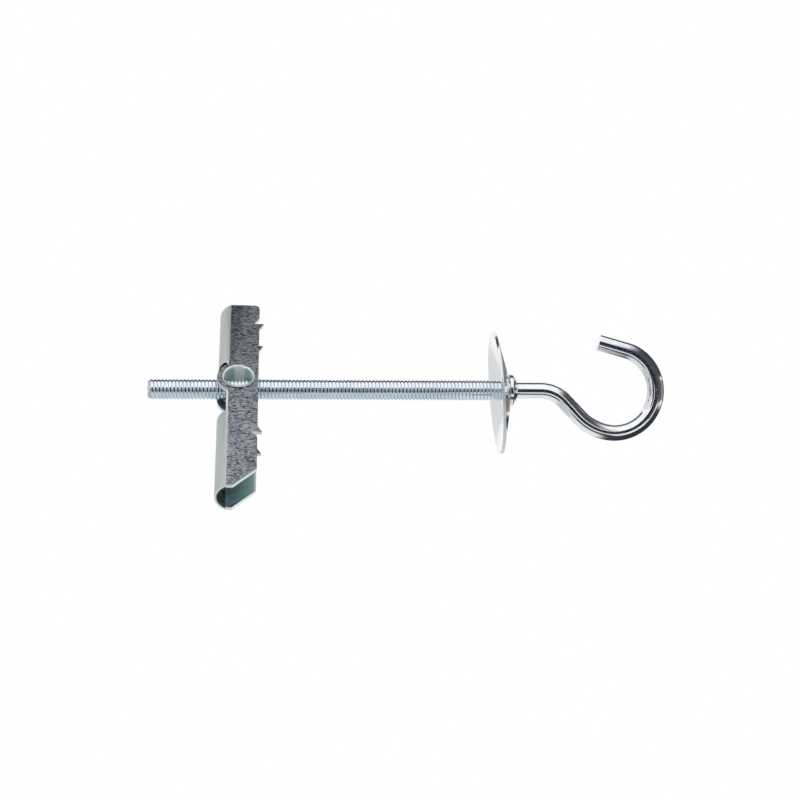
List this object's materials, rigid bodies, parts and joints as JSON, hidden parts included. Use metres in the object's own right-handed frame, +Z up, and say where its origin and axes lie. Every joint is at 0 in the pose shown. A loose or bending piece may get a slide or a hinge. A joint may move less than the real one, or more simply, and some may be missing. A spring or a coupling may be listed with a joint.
{
  "type": "swag hook",
  "caption": "Zinc-plated ceiling hook with a long threaded rod, a dished washer and a tilting channel toggle bar on a tapped trunnion that grips behind the ceiling board.",
  "frame": {"origin": "on the rod's axis, level with the washer's rim, where the ceiling's face is", "axes": "+Z up along the rod to the toggle; the hook lies in the XZ plane with its open mouth towards +X"},
  "size_m": [0.0393, 0.0393, 0.1008],
  "materials": {
    "bright_zinc_wire": "bright zinc plate on drawn steel wire",
    "bright_zinc_washer": "bright zinc plate on pressed steel sheet",
    "bright_zinc_nut": "zinc plate on steel tube",
    "dull_zinc_sheet": "dull zinc plate on rolled steel sheet, with a fine grain"
  },
  "bodies": {
    "hook": {"hook_rod": "bright_zinc_wire"},
    "washer": {"washer": "bright_zinc_washer"},
    "trunnion": {"trunnion_nut": "bright_zinc_nut"},
    "toggle": {"toggle_bar": "dull_zinc_sheet"}
  },
  "joints": [
    {"name": "washer_slide", "type": "slide", "parent": "hook", "child": "washer", "axis": [0, 0, 1], "range_m": [0, 0.005]},
    {"name": "toggle_travel", "type": "slide", "parent": "hook", "child": "trunnion", "axis": [0, 0, 1], "range_m": [-0.024, 0.0135]},
    {"name": "toggle_tilt", "type": "hinge", "parent": "trunnion", "child": "toggle", "pos_m": [0, 0, 0.0501], "axis": [0.7071, -0.7071, 0], "range_deg": [-49, 27]}
  ]
}
